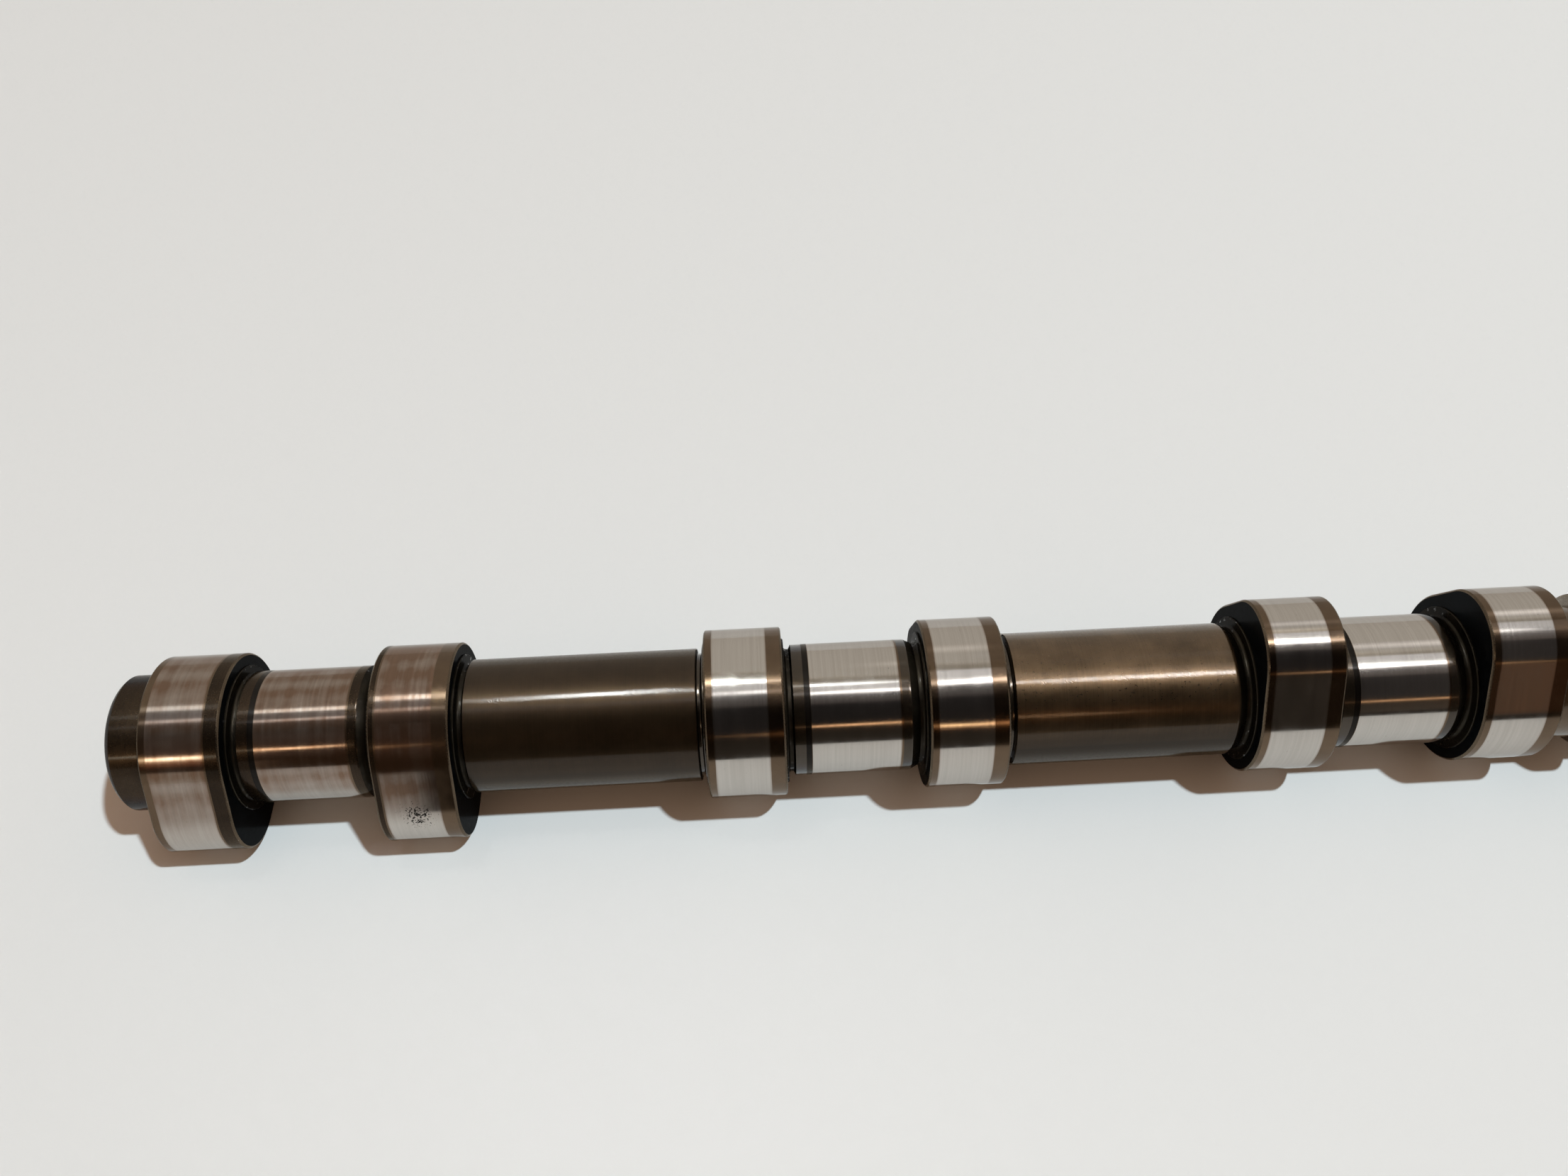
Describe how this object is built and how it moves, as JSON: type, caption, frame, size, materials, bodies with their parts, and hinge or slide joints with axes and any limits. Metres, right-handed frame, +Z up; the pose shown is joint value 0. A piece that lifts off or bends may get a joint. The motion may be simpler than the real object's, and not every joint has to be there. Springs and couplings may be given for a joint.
{
  "type": "camshaft",
  "caption": "Overhead camshaft for one bank of a V engine: paired cam lobes beside bearing journals, with a flanged drive end.",
  "frame": {"origin": "on the shaft's axis, at the face of the drive flange that the sprocket seats on, where the pilot starts", "axes": "+X along the shaft, out of the drive end; +Z up as the shaft lies on a flat surface, with the front cylinder's cam noses pointing up; +Y away from the side that shows the rear cylinder's cam noses"},
  "size_m": [0.3217, 0.0406, 0.0384],
  "materials": {
    "ground_iron": "ground and polished on lobes and journals, oily dark brown between them"
  },
  "bodies": {
    "root": {"camshaft": "ground_iron"}
  },
  "joints": []
}
